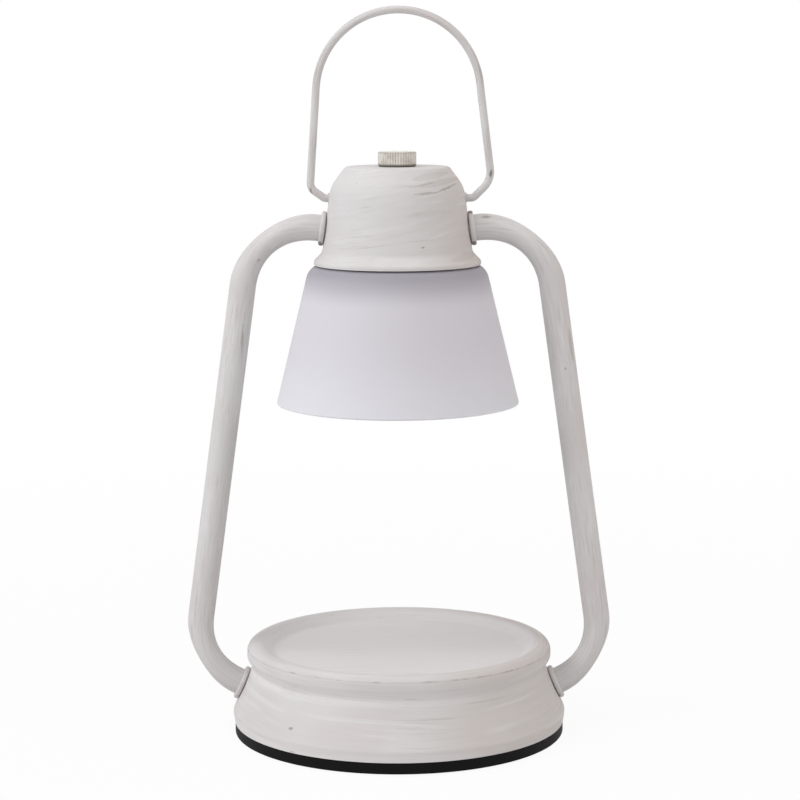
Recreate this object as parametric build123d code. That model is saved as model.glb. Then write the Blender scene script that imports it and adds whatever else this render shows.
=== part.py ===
from build123d import *

import os
from math import atan, cos, degrees, pi, radians, sin, sqrt, tan

# Lantern-shaped candle warmer lamp: a halogen bulb under a glass shade warms a jar candle
# that stands in the dish of the base. Millimetres, +Z up, origin on the ground under the
# centre of the base. The two arms lie in the XZ plane, and the cord inlet is at the back, on +Y.

# --- Clearances and fits ---------------------------------------------------------------
RUNNING_GAP = 0.06       # radial, between a pivot wire or thread and the hole that it turns in
HOLE_GAP = 0.15          # radial, between a fixed tube or screw and the hole that it passes
SEAT_GAP = 0.1           # between flat faces of pieces that move on each other
SPIGOT_GAP = 0.3         # between the cover's spigot and the skirt around it
OVERCUT = 1.0            # how far a cutter runs past the faces that it cuts

# --- Base shell: one spun steel sheet --------------------------------------------------
SHEET_T = 1.0            # thickness of the base shell and of the cap
BELLY_R = 66.5           # where the slanted wall would meet the tucked lower edge
EDGE_TUCK = 0.6          # how far the lower edge lies inside the belly
SKIRT_FLARE = 8.1        # how far the wall runs outwards from the neck to the belly
NECK_DEPTH = 2.3         # how far the neck lies inside the rolled rim
BELLY_RISE = 4.0         # from the lower edge up to the belly
WALL_RISE = 18.2         # from the belly up to the neck
NECK_RISE = 3.8          # from the neck up to where the rim's side begins
RIM_RISE = 5.7           # height of the rim's side
RIM_W = 5.6              # from the rim's side in to where its top meets the dish's slope
DISH_SLOPE = 5.2         # how far the dish's sloping wall runs inwards
DISH_DEPTH = 3.7         # from the top of the rim down to the candle's floor
BELLY_ROUND = 2.5
NECK_ROUND = 2.0
RIM_SIDE_ROUND = 2.2
RIM_ROUND = 3.5          # from the rim's side to its top
RIM_INNER_ROUND = 4.0    # from the rim's top to the dish's slope
DISH_ROUND = 4.0         # from that slope to the candle's floor

# --- Bottom cover, feet and ballast ----------------------------------------------------
PAD_STAND = 0.3          # how far the foot pad stands below the cover
PAD_GROOVE = 0.6         # how deep the pad sits in the cover
PAD_W = 6.0
PAD_INSET = 2.0          # from the cover's edge to the pad
PAD_ROUND = 0.15
COVER_EDGE = 4.5         # height of the cover's edge, which shows under the skirt
COVER_T = 2.3
COVER_SETBACK = 0.15     # how far the cover's edge lies inside the skirt's lower edge
COVER_ROUND = 0.4
SPIGOT_T = 1.8
SPIGOT_RISE = 3.5        # how far the spigot stands up inside the skirt
FIXINGS = 3              # cover screws, and ballast screws, around the axis
SCREW_INSET = 0.8        # between the pad's groove and the holes of the cover screws
COVER_FIX_TURN = 30.0    # degrees, which keeps the screws off the arms and the cord inlet
BOSS_R = 3.6
TAB_T = 1.2
TAB_RISE = 5.2           # from the skirt's lower edge up to the tabs
TAB_LEG = 9.0            # height of a tab's welded leg
TAB_REACH = 4.5          # how far a tab reaches inwards past its screw
TAB_SPREAD = 12.0        # degrees of the circle that a tab covers
SCREW_R = 1.5
SCREW_HEAD_R = 2.9
SCREW_HEAD_T = 1.8
SCREW_HEAD_ROUND = 0.7
SCREW_PAST = 2.5         # how far a screw reaches past what it fastens
BALLAST_GAP = 5.4        # between the tabs and the ballast
BALLAST_T = 6.0
BALLAST_CHAMFER = 1.0
BALLAST_POST = 3.0       # height of the posts that carry the ballast
BALLAST_FIX_R = 30.0
BALLAST_FIX_TURN = 90.0

# --- Cap: one spun steel sheet ---------------------------------------------------------
CAP_LIP_H = 187.4        # height of the cap's lower lip above the ground
CAP_LIP_R = 32.8
LIP_BAND = 1.4           # height of the upright lip
FLARE_IN = 3.3           # how far the flare runs inwards above the lip
FLARE_RISE = 3.4
CAP_WALL_RISE = 25.6
CAP_TAPER = 7.6          # degrees that the wall leans inwards
CAP_TOP_R = 20.3         # radius of the flat top
SHOULDER_RISE = 7.7
LIP_ROUND = 1.5
FLARE_ROUND = 3.0
SHOULDER_ROUND = 13.0
TOP_EDGE_ROUND = 1.6

# --- Arms ------------------------------------------------------------------------------
ARM_R = 5.2              # outer radius of the arm tube
ARM_WALL = 1.0
ARM_CAP_RISE = 13.9      # from the cap's lip up to the arm's hole
ARM_BASE_RISE = 9.9      # from the belly up to the arm's hole
ARM_TOP_X = 57.2         # where the arm's top line meets its slanted line
ARM_LOW_X = 81.7         # where the slanted line meets the arm's lower line
ARM_TOP_STRAIGHT = 2.9   # straight stretch outside the cap, before the top bend
ARM_LOW_STRAIGHT = 2.1   # straight stretch outside the base, before the lower bend
BEND_FLAT_OUT = 1.1      # how far bending draws the tube's outer side in, at the middle of a bend
BEND_FLAT_IN = 0.4       # the same of its inner side
BEND_SPREAD = 0.4        # how far the tube's flanks spread there
BEND_STEPS = 6           # steps along a bend, from round through flattened to round
ARM_END_PAST = 0.6       # how far the tube reaches past its nut
COLLAR_R = 6.8
COLLAR_T = 2.0
COLLAR_ROUND = 0.8
NUT_FLATS_R = 7.0        # half the width of the nuts across their flats
NUT_T = 3.5
NUT_CORNER_IN = 0.3      # how far the chamfer takes a nut's corners in
NUT_CORNER_DROP = 0.5    # how far it reaches down them

# --- Handle ----------------------------------------------------------------------------
# The bail is bent by hand, so its sides differ: the left foot is lower and closer to the cap.
WIRE_R = 1.5             # radius of the bail's steel wire
PIVOT_RISE = 25.8        # from the cap's lip up to the pivot
BOW_R = 32.0             # radius of the bail's round top
BOW_RISE = 40.8          # from the pivot up to the centre of that round
BOW_ASIDE = 0.5          # how far that centre lies to the right of the lamp's axis
LEG_LEAN_RIGHT = 6.9     # degrees that the right leg leans inwards
LEG_LEAN_LEFT = 3.8
FOOT_RISE_RIGHT = 7.0    # from the pivot up to the wire's second bend
FOOT_RISE_LEFT = 4.0
STANDOFF_RIGHT = 3.0     # from the cap's wall out to the wire's first bend
STANDOFF_LEFT = 1.7
FOOT_BEND = 2.6          # radius of the wire's first bend
LEG_BEND_RIGHT = 9.0     # radius of the wire's second bend
LEG_BEND_LEFT = 4.0
BUSH_R = 2.1             # barrel of the bush in the cap's wall
BUSH_FLANGE_R = 2.9
BUSH_PROUD = 0.4         # how far the barrel stands out of the wall
BUSH_INSIDE = 2.2        # how far the bush reaches behind the wall's outer face
HEAD_R = 2.2             # upset head on each end of the wire
HEAD_T = 1.0
HEAD_PLAY = 0.4          # end play between the head and the bush

# --- Knob, nipple and lampholder -------------------------------------------------------
NIPPLE_R = 4.95          # threaded tube of the lampholder, M10 x 1
NIPPLE_BORE = 3.6
KNOB_R = 7.5
KNOB_H = 5.7
KNOB_CHAMFER = 0.5
KNOB_TOP_T = 1.5
KNURL_COUNT = 44
KNURL_DEPTH = 0.3
NIPPLE_SHORT = 0.4       # between the nipple's end and the knob's closed top
WASHER_R = 9.0
WASHER_T = 1.0
LOCKNUT_T = 4.0
SHADE_UP = 0.2           # how far the shade's flat top stands above the cap's lip
GASKET_T = 0.6
FLANGE_R = 23.0
FLANGE_T = 2.2
HOLDER_R = 17.0
HOLDER_RISE = 17.3       # from the flange up to the holder's shoulder
HOLDER_DOME = 6.0        # from that shoulder up to the boss
HOLDER_BOSS_R = 8.0
HOLDER_BOSS_T = 3.5
HOLDER_CEILING = 2.0     # thickness of the holder's top
SKIRT_WALL = 2.6
SKIRT_DROP = 9.0         # from the flange down to the end of the threaded skirt
SKIRT_PLAY = 0.6         # between the skirt and the shade's neck
RING_R = 24.0
RING_T = 5.0
RING_FLUTE_COUNT = 30
RING_FLUTE_DEPTH = 0.9
INSERT_GAP = 0.1
INSERT_T = 11.8          # thickness of the ceramic insert
INSERT_PLATE = 2.0       # thickness of its slotted face plate
CHAMBER_T = 6.9          # depth of the contact chambers above that plate
WIRE_HOLE_X = 11.5       # where the lead wires enter the lampholder
WIRE_HOLE_R = 2.4
LEAF_L = 3.2             # contact leaf over a pin
LEAF_W = 2.6
LEAF_T = 0.5
LEAF_GAP = 0.4           # between a pin's head and its leaf
LEAF_POST_R = 0.8

# --- Bulb, GU10 ------------------------------------------------------------------------
PIN_SPAN = 10.0          # between the centres of the two pins
PIN_R = 1.6
PIN_HEAD_R = 2.5
PIN_NECK = 4.5
PIN_HEAD_T = 2.5
PIN_PLAY = 0.25          # between the pins and their slots
TWIST = 20.0             # degrees between the entry holes and the locked place
BULB_R = 25.0
BULB_BASE_R = 11.5
BULB_BASE_T = 12.0
BULB_BASE_CHAMFER = 2.5
BULB_NECK_R = 10.8
REFLECTOR_DROP = 33.0    # from the base down to the reflector's edge
REFLECTOR_BULGE_R = 19.4 # radius of the reflector at BULGE_DROP below the base
BULGE_DROP = 12.0
BULB_RIM = 2.5
REFLECTOR_T = 1.2
LENS_T = 1.2
LENS_RECESS = 0.4
CAPSULE_R = 4.2
CAPSULE_L = 18.0
CAPSULE_ROUND = 3.8

# --- Glass shade -----------------------------------------------------------------------
SHADE_MOUTH_R = 47.8
SHADE_TALL = 55.0
SHADE_SHOULDER_R = 34.5  # where the side would meet the flat top
SHADE_ROUND = 7.0
SHADE_T = 3.0
SHADE_LIP_ROUND = 0.4
SHADE_NECK_R = 18.9

# --- Wiring ----------------------------------------------------------------------------
LEAD_R = 0.9             # insulated conductor
LEAD_APART = 1.1         # each conductor's distance from the arm's plane
LEAD_RISE_X = 19.0       # where the leads climb beside the lampholder
LEAD_LEVEL = 2.2         # height of the leads' axis above the ballast
LEAD_BEND = 3.4
LEAD_RUN = 10.2          # level run of the leads before the arm
LEAD_ARM_BEND = 6.8      # their bend into the arm
LEAD_OVER = 2.2          # how far above the holder's boss they cross to it
BLOCK_X = 16.0           # centre of the terminal block
BLOCK_L = 18.0
BLOCK_W = 17.0
BLOCK_T = 8.0
BLOCK_ROUND = 1.5
CHIMNEY_R = 3.4
CHIMNEY_RISE = 3.0
POLE_APART = 4.2         # each pole's distance from the arm's plane
POLE_RISE = 5.0          # from the block's underside up to its tunnels
POLE_BORE = 1.8
CLAMP_X = 4.5            # each clamp screw's distance from the block's centre
CLAMP_SCREW_R = 1.6
CLAMP_SCREW_L = 3.0
CLAMP_SUNK = 1.0         # how far a clamp screw lies below the top of its chimney
GROMMET_R = 3.6
GROMMET_FLANGE_R = 4.6
GROMMET_BORE = 2.7
GROMMET_PROUD = 1.2
GROMMET_INSIDE = 2.6

# --- Heights and radii that follow -----------------------------------------------------
COVER_LOW = PAD_STAND
SKIRT_LOW = COVER_LOW + COVER_EDGE
BELLY_H = SKIRT_LOW + BELLY_RISE
NECK_H = BELLY_H + WALL_RISE
RIM_LOW_H = NECK_H + NECK_RISE
RIM_TOP_H = RIM_LOW_H + RIM_RISE
DISH_H = RIM_TOP_H - DISH_DEPTH
NECK_R = BELLY_R - SKIRT_FLARE
RIM_R = NECK_R + NECK_DEPTH
RIM_INNER_R = RIM_R - RIM_W
DISH_R = RIM_INNER_R - DISH_SLOPE
WALL_LEAN = degrees(atan(SKIRT_FLARE / WALL_RISE))

COVER_TOP = COVER_LOW + COVER_T
COVER_R = BELLY_R - EDGE_TUCK - COVER_SETBACK
PAD_R = COVER_R - PAD_INSET
COVER_FIX_R = PAD_R - PAD_W - SCREW_INSET - HOLE_GAP - SCREW_HEAD_R
SPIGOT_R = BELLY_R - EDGE_TUCK - SHEET_T - SPIGOT_GAP
TAB_LOW = SKIRT_LOW + TAB_RISE
BALLAST_R = COVER_FIX_R - TAB_REACH - BALLAST_GAP
BALLAST_LOW = COVER_TOP + BALLAST_POST
BALLAST_TOP = BALLAST_LOW + BALLAST_T

SHADE_TOP_H = CAP_LIP_H + SHADE_UP
FLARE_R = CAP_LIP_R - FLARE_IN
FLARE_H = CAP_LIP_H + LIP_BAND + FLARE_RISE
SHOULDER_H = FLARE_H + CAP_WALL_RISE
CAP_TOP_H = SHOULDER_H + SHOULDER_RISE
PIVOT_H = CAP_LIP_H + PIVOT_RISE
HALF_SPAN = PIN_SPAN / 2

NECK_UNDERSIDE = SHADE_TOP_H - SHADE_T
FLANGE_LOW = SHADE_TOP_H + GASKET_T
FLANGE_TOP = FLANGE_LOW + FLANGE_T
HOLDER_SHOULDER_H = FLANGE_TOP + HOLDER_RISE
BOSS_LOW = HOLDER_SHOULDER_H + HOLDER_DOME
BOSS_TOP = BOSS_LOW + HOLDER_BOSS_T
HOLDER_BORE = SHADE_NECK_R - SKIRT_PLAY - SKIRT_WALL
CAVITY_TOP = HOLDER_SHOULDER_H - HOLDER_CEILING
INSERT_LOW = CAVITY_TOP - INSERT_T
CHAMBER_LOW = INSERT_LOW + INSERT_PLATE
CHAMBER_TOP = CHAMBER_LOW + CHAMBER_T
BULB_TOP = INSERT_LOW - SEAT_GAP
PIN_TOP = BULB_TOP + PIN_NECK + PIN_HEAD_T
REFLECTOR_TOP = BULB_TOP - BULB_BASE_T
REFLECTOR_LOW = REFLECTOR_TOP - REFLECTOR_DROP
BULB_FACE = REFLECTOR_LOW - BULB_RIM

UP = (Align.CENTER, Align.CENTER, Align.MIN)
THROUGH = 10 * SHEET_T   # length of a cutter, centred on the wall that it passes
SEAM_TURN = 45.0         # degrees, which keeps the seam of a turned surface off every side hole


def base_wall_r(height):
    """Outer radius of the base's slanted wall at a height."""
    return NECK_R + (NECK_H - height) * SKIRT_FLARE / WALL_RISE


def cap_wall_r(height):
    """Outer radius of the cap's wall at a height."""
    return FLARE_R - (height - FLARE_H) * tan(radians(CAP_TAPER))


def wall_plane(radius, height, lean, turn=0.0):
    """A plane on a wall, turned about the axis: its normal points out of the wall."""
    out = Vector(1, 0, 0).rotate(Axis.Z, turn)
    normal = out * cos(radians(lean)) + Vector(0, 0, sin(radians(lean)))
    return Plane(origin=out * radius + Vector(0, 0, height), x_dir=Vector(0, 0, 1).cross(out), z_dir=normal)


ARM_CAP_H = CAP_LIP_H + ARM_CAP_RISE
ARM_BASE_H = BELLY_H + ARM_BASE_RISE
CAP_JOINT = wall_plane(cap_wall_r(ARM_CAP_H), ARM_CAP_H, CAP_TAPER)
BASE_JOINT = wall_plane(base_wall_r(ARM_BASE_H), ARM_BASE_H, WALL_LEAN)
CORD_JOINT = wall_plane(base_wall_r(ARM_BASE_H), ARM_BASE_H, WALL_LEAN, turn=90)


# --- Small makers ----------------------------------------------------------------------
def disc(radius, low, high):
    """An upright cylinder between two heights."""
    return Pos(0, 0, low) * Cylinder(radius, high - low, align=UP)


def ring(inner, outer, low, high):
    """An upright ring between two heights."""
    return disc(outer, low, high) - disc(inner, low - OVERCUT, high + OVERCUT)


def turned(outline):
    """The closed outline, drawn as radius and height, turned about the axis from SEAM_TURN."""
    return Rot(0, 0, SEAM_TURN) * revolve(Plane.XZ * make_face(outline), Axis.Z)


def turned_polygon(*points):
    """The polygon, drawn as radius and height, turned about the axis."""
    return turned(Polyline(*points, close=True))


def sheet_of(line, thickness):
    """A line drawn from the lower edge up and inwards, thickened to its inner side and turned."""
    return turned(offset(line, amount=thickness, side=Side.LEFT, closed=True))


def around(count, radius, start):
    """Places on a circle about the axis."""
    return [Rot(0, 0, start + i * 360 / count) * Pos(radius, 0, 0) for i in range(count)]


def fluted(radius, depth, count, low, high):
    """A disc with a saw-tooth edge of V grooves."""
    points = []
    for i in range(2 * count):
        reach = radius - depth * (i % 2)
        turn = i * pi / count
        points.append((reach * cos(turn), reach * sin(turn)))
    return Pos(0, 0, low) * extrude(make_face(Polyline(*points, close=True)), high - low)


def bar_along(path, radius):
    """A round bar along a path."""
    return sweep(Plane(origin=path @ 0, z_dir=path % 0) * Circle(radius), path=path)


def pan_screw(head_low, tip, low_head=True):
    """A screw on the axis: its head starts at head_low, and its shank ends at tip."""
    head = disc(SCREW_HEAD_R, 0, SCREW_HEAD_T)
    rim = head.edges().sort_by(Axis.Z)[0 if low_head else -1]
    head = Pos(0, 0, head_low) * fillet(rim, SCREW_HEAD_ROUND)
    return head + disc(SCREW_R, min(head_low, tip), max(head_low, tip))


def hex_nut(low, thickness, bore):
    """A hexagon nut on the axis."""
    blank = extrude(RegularPolygon(NUT_FLATS_R, 6, major_radius=False), thickness)
    corner = NUT_FLATS_R / cos(pi / 6)
    cone = turned_polygon(
        (0, 0),
        (corner - NUT_CORNER_IN, 0),
        (corner, NUT_CORNER_DROP),
        (corner, thickness - NUT_CORNER_DROP),
        (corner - NUT_CORNER_IN, thickness),
        (0, thickness),
    )
    return Pos(0, 0, low) * (blank & cone) - disc(bore, low - OVERCUT, low + thickness + OVERCUT)


# --- Base ------------------------------------------------------------------------------
def base_sheet():
    """The base before its holes: tucked edge, slanted wall, neck, rounded rim and dish."""
    line = FilletPolyline(
        (BELLY_R - EDGE_TUCK, SKIRT_LOW),
        (BELLY_R, BELLY_H),
        (NECK_R, NECK_H),
        (RIM_R, RIM_LOW_H),
        (RIM_R, RIM_TOP_H),
        (RIM_INNER_R, RIM_TOP_H),
        (DISH_R, DISH_H),
        (0, DISH_H),
        radius=[BELLY_ROUND, NECK_ROUND, RIM_SIDE_ROUND, RIM_ROUND, RIM_INNER_ROUND, DISH_ROUND],
    )
    return sheet_of(line, SHEET_T)


def base_shell(sheet):
    """The sheet with its two arm holes and its cord hole."""
    arm_hole = BASE_JOINT * Cylinder(ARM_R + HOLE_GAP, THROUGH)
    cord_hole = CORD_JOINT * Cylinder(GROMMET_R, THROUGH)
    return sheet - arm_hole - mirror(arm_hole, about=Plane.YZ) - cord_hole


def bottom_cover():
    """Black moulded cover: edge under the skirt, spigot, screw bosses and ballast posts."""
    body = turned_polygon(
        (0, COVER_LOW),
        (COVER_R, COVER_LOW),
        (COVER_R, SKIRT_LOW),
        (SPIGOT_R, SKIRT_LOW),
        (SPIGOT_R, SKIRT_LOW + SPIGOT_RISE),
        (SPIGOT_R - SPIGOT_T, SKIRT_LOW + SPIGOT_RISE),
        (SPIGOT_R - SPIGOT_T, COVER_TOP),
        (0, COVER_TOP),
    )
    body = fillet(body.edges().sort_by(Axis.Z)[0], COVER_ROUND)
    for place in around(FIXINGS, COVER_FIX_R, COVER_FIX_TURN):
        body += place * disc(BOSS_R, COVER_TOP, TAB_LOW)
        body -= place * disc(SCREW_R + HOLE_GAP, COVER_LOW - OVERCUT, TAB_LOW + OVERCUT)
        body -= place * disc(SCREW_HEAD_R + HOLE_GAP, COVER_LOW - OVERCUT, COVER_LOW + SCREW_HEAD_T)
    for place in around(FIXINGS, BALLAST_FIX_R, BALLAST_FIX_TURN):
        body += place * disc(BOSS_R, COVER_TOP, BALLAST_LOW)
        body -= place * disc(SCREW_R, BALLAST_LOW - SCREW_PAST, BALLAST_LOW + OVERCUT)
    return body - ring(PAD_R - PAD_W, PAD_R, COVER_LOW - OVERCUT, COVER_LOW + PAD_GROOVE)


def foot_pad():
    """Soft ring in the cover's groove, which the lamp stands on."""
    pad = ring(PAD_R - PAD_W, PAD_R, 0, COVER_LOW + PAD_GROOVE)
    return fillet(pad.edges().group_by(Axis.Z)[0], PAD_ROUND)


def cover_tabs():
    """Bent tabs, welded inside the skirt, which take the cover screws."""
    across = SHEET_T / cos(radians(WALL_LEAN))
    leg_top = TAB_LOW + TAB_LEG
    inner_low = base_wall_r(TAB_LOW) - across
    inner_bend = base_wall_r(TAB_LOW + TAB_T) - across - TAB_T
    inner_top = base_wall_r(leg_top) - across
    profile = Polyline(
        (COVER_FIX_R - TAB_REACH, TAB_LOW),
        (inner_low, TAB_LOW),
        (inner_top, leg_top),
        (inner_top - TAB_T, leg_top),
        (inner_bend, TAB_LOW + TAB_T),
        (COVER_FIX_R - TAB_REACH, TAB_LOW + TAB_T),
        close=True,
    )
    tab = Rot(0, 0, -TAB_SPREAD / 2) * revolve(Plane.XZ * make_face(profile), Axis.Z, TAB_SPREAD)
    tab -= Pos(COVER_FIX_R, 0, 0) * disc(SCREW_R, TAB_LOW - OVERCUT, TAB_LOW + TAB_T + OVERCUT)
    return [Rot(0, 0, COVER_FIX_TURN + i * 360 / FIXINGS) * tab for i in range(FIXINGS)]


def cover_screws():
    screw = pan_screw(COVER_LOW, TAB_LOW + TAB_T + SCREW_PAST)
    return [place * screw for place in around(FIXINGS, COVER_FIX_R, COVER_FIX_TURN)]


def ballast_disc():
    """Iron disc that keeps the lamp from tipping."""
    body = disc(BALLAST_R, BALLAST_LOW, BALLAST_TOP)
    body = chamfer(body.edges(), BALLAST_CHAMFER)
    for place in around(FIXINGS, BALLAST_FIX_R, BALLAST_FIX_TURN):
        body -= place * disc(SCREW_R + HOLE_GAP, BALLAST_LOW - OVERCUT, BALLAST_TOP + OVERCUT)
    return body


def ballast_screws():
    screw = pan_screw(BALLAST_TOP, BALLAST_LOW - SCREW_PAST, low_head=False)
    return [place * screw for place in around(FIXINGS, BALLAST_FIX_R, BALLAST_FIX_TURN)]


def cord_grommet(sheet):
    """Rubber bush for the supply cord: the wall of the base fills its groove."""
    bush = CORD_JOINT * disc(GROMMET_FLANGE_R, -GROMMET_INSIDE, GROMMET_PROUD) - sheet
    bush += CORD_JOINT * disc(GROMMET_R, -GROMMET_INSIDE, 0)
    return bush - CORD_JOINT * Cylinder(GROMMET_BORE, THROUGH)


# --- Arms ------------------------------------------------------------------------------
def nut_seat(wall_r):
    """How far behind the wall's outer face a flat nut meets the hollow of the wall."""
    inner = wall_r - SHEET_T
    corner = NUT_FLATS_R / cos(pi / 6)
    return wall_r - sqrt(inner ** 2 - corner ** 2) + HOLE_GAP


def end_inside(wall_r):
    """How far behind the wall's outer face an arm tube ends."""
    return nut_seat(wall_r) + NUT_T + ARM_END_PAST


def arm_corner(joint, x):
    """Where the joint's axis reaches x."""
    reach = (x - joint.origin.X) / joint.z_dir.X
    return joint.origin + joint.z_dir * reach


ARM_TOP = arm_corner(CAP_JOINT, ARM_TOP_X)
ARM_LOW = arm_corner(BASE_JOINT, ARM_LOW_X)


def arm_bend(joint, corner, straight):
    """The bend that fills the arm from a straight stretch at its joint to its slanted line."""
    other = ARM_LOW if corner is ARM_TOP else ARM_TOP
    turn = 180 - (joint.origin - corner).get_angle(other - corner)
    return ((corner - joint.origin).length - straight) / tan(radians(turn / 2))


TOP_BEND = arm_bend(CAP_JOINT, ARM_TOP, ARM_TOP_STRAIGHT)
LOW_BEND = arm_bend(BASE_JOINT, ARM_LOW, ARM_LOW_STRAIGHT)


def flattened_bend(arc, radius):
    """A round bar round a bend: bending flattens it, most at the middle of the arc."""
    def seat(along, shift=0.0):
        outwards = (arc @ along - arc.arc_center).normalized()
        return Plane(origin=arc @ along - outwards * shift, x_dir=(0, 1, 0), z_dir=arc % along)

    flattened = []
    for step in range(1, BEND_STEPS):
        along = step / BEND_STEPS
        share = sin(pi * along) ** 2
        shift = share * (BEND_FLAT_OUT - BEND_FLAT_IN) / 2
        thin = share * (BEND_FLAT_OUT + BEND_FLAT_IN) / 2
        flattened.append(seat(along, shift) * Ellipse(radius + share * BEND_SPREAD, radius - thin))
    start = seat(0) * Circle(radius)
    end = seat(1) * Circle(radius)
    return sweep([start, *flattened, end], path=arc, multisection=True)


def arm_bar(path, radius):
    """A bar along the arm's path: round in the straights, flattened in the bends."""
    spans = []
    for span in path.edges():
        if span.geom_type == GeomType.CIRCLE:
            spans.append(flattened_bend(span, radius))
        else:
            spans.append(bar_along(span, radius))
    return spans[0].fuse(*spans[1:])


def arm_tube():
    """The right arm: from inside the base, round two bends, to inside the cap."""
    start = BASE_JOINT.origin - BASE_JOINT.z_dir * end_inside(BASE_JOINT.origin.X)
    end = CAP_JOINT.origin - CAP_JOINT.z_dir * end_inside(CAP_JOINT.origin.X)
    path = FilletPolyline(start, ARM_LOW, ARM_TOP, end, radius=[LOW_BEND, TOP_BEND])
    return arm_bar(path, ARM_R) - arm_bar(path, ARM_R - ARM_WALL)


def collar():
    """Rounded ferrule on the tube, against the outside of a wall."""
    body = disc(COLLAR_R, 0, COLLAR_T)
    body = fillet(body.edges(), COLLAR_ROUND)
    return body - Cylinder(ARM_R, THROUGH)


def arm_nuts(joint):
    """The nuts that hold both arms behind one wall."""
    nut = joint * hex_nut(-nut_seat(joint.origin.X) - NUT_T, NUT_T, ARM_R)
    return [nut, mirror(nut, about=Plane.YZ)]


# --- Cap and handle --------------------------------------------------------------------
def cap_sheet():
    """The cap before its holes: upright lip, flare, tapered wall, shoulder and flat top."""
    line = FilletPolyline(
        (CAP_LIP_R, CAP_LIP_H),
        (CAP_LIP_R, CAP_LIP_H + LIP_BAND),
        (FLARE_R, FLARE_H),
        (cap_wall_r(SHOULDER_H), SHOULDER_H),
        (CAP_TOP_R, CAP_TOP_H),
        (0, CAP_TOP_H),
        radius=[LIP_ROUND, FLARE_ROUND, SHOULDER_ROUND, TOP_EDGE_ROUND],
    )
    return sheet_of(line, SHEET_T)


def cap_shell(sheet):
    """The sheet with its arm holes, its handle holes and the hole for the nipple."""
    body = sheet - disc(NIPPLE_R + HOLE_GAP, CAP_TOP_H - SHEET_T - OVERCUT, CAP_TOP_H + OVERCUT)
    arm_hole = CAP_JOINT * Cylinder(ARM_R + HOLE_GAP, THROUGH)
    bush_hole = Pos(cap_wall_r(PIVOT_H), 0, PIVOT_H) * Rot(0, 90, 0) * Cylinder(BUSH_R, THROUGH)
    for hole in (arm_hole, bush_hole):
        body = body - hole - mirror(hole, about=Plane.YZ)
    return body


def handle_bushes(sheet):
    """Bushes for the handle's wire: a barrel through the cap's wall, and a flange behind it."""
    level = Pos(cap_wall_r(PIVOT_H), 0, PIVOT_H) * Rot(0, 90, 0)
    bush = level * disc(BUSH_FLANGE_R, -BUSH_INSIDE, -SHEET_T / 2) - sheet
    bush += level * disc(BUSH_R, -BUSH_INSIDE, BUSH_PROUD)
    bush -= level * Cylinder(WIRE_R + RUNNING_GAP, THROUGH)
    return [bush, mirror(bush, about=Plane.YZ)]


def bail_tip():
    """How far from the lamp's axis the bail's two ends lie."""
    return cap_wall_r(PIVOT_H) - BUSH_INSIDE - HEAD_PLAY - HEAD_T


def bail_side(aside, lean, rise, standoff, leg_bend):
    """Half of the bail, to the right of its pivot's middle: end, foot, leg and half of the bow."""
    bow_end = (aside + BOW_R * cos(radians(lean)), BOW_RISE + BOW_R * sin(radians(lean)))
    knee = bow_end[0] + (bow_end[1] - rise) * tan(radians(lean))
    foot = FilletPolyline(
        (bail_tip(), 0),
        (cap_wall_r(PIVOT_H) + standoff, 0),
        (knee, rise),
        bow_end,
        radius=[FOOT_BEND, leg_bend],
    )
    bow = CenterArc((aside, BOW_RISE), BOW_R, lean, 90 - lean)
    return foot.edges() + bow.edges()


def handle_bail():
    """Bent wire: a pivot through each bush, a foot that bends out and up, legs and a bow."""
    right = bail_side(BOW_ASIDE, LEG_LEAN_RIGHT, FOOT_RISE_RIGHT, STANDOFF_RIGHT, LEG_BEND_RIGHT)
    left = bail_side(-BOW_ASIDE, LEG_LEAN_LEFT, FOOT_RISE_LEFT, STANDOFF_LEFT, LEG_BEND_LEFT)
    flat_path = Wire(right + mirror(Wire(left), about=Plane.YZ).edges())
    path = Pos(0, 0, PIVOT_H) * Plane.XZ.from_local_coords(flat_path)
    head = Pos(bail_tip(), 0, PIVOT_H) * Rot(0, 90, 0) * disc(HEAD_R, 0, HEAD_T)
    return bar_along(path, WIRE_R) + head + mirror(head, about=Plane.YZ)


def top_knob():
    """Knurled hand nut that clamps the cap on the nipple."""
    low = CAP_TOP_H + SEAT_GAP
    high = low + KNOB_H
    blank = turned_polygon(
        (0, low),
        (KNOB_R - KNOB_CHAMFER, low),
        (KNOB_R, low + KNOB_CHAMFER),
        (KNOB_R, high - KNOB_CHAMFER),
        (KNOB_R - KNOB_CHAMFER, high),
        (0, high),
    )
    body = blank & fluted(KNOB_R, KNURL_DEPTH, KNURL_COUNT, low, high)
    return body - disc(NIPPLE_R + RUNNING_GAP, low - OVERCUT, high - KNOB_TOP_T)


# --- Lampholder ------------------------------------------------------------------------
def threaded_nipple():
    """Hollow threaded tube from the lampholder's boss, through the cap, into the knob."""
    top = CAP_TOP_H + SEAT_GAP + KNOB_H - KNOB_TOP_T - NIPPLE_SHORT
    return ring(NIPPLE_BORE, NIPPLE_R, BOSS_LOW - HOLDER_CEILING, top)


def nipple_washer():
    low = CAP_TOP_H - SHEET_T - WASHER_T
    return ring(NIPPLE_R, WASHER_R, low, low + WASHER_T)


def nipple_locknut():
    return hex_nut(CAP_TOP_H - SHEET_T - WASHER_T - LOCKNUT_T, LOCKNUT_T, NIPPLE_R)


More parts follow.
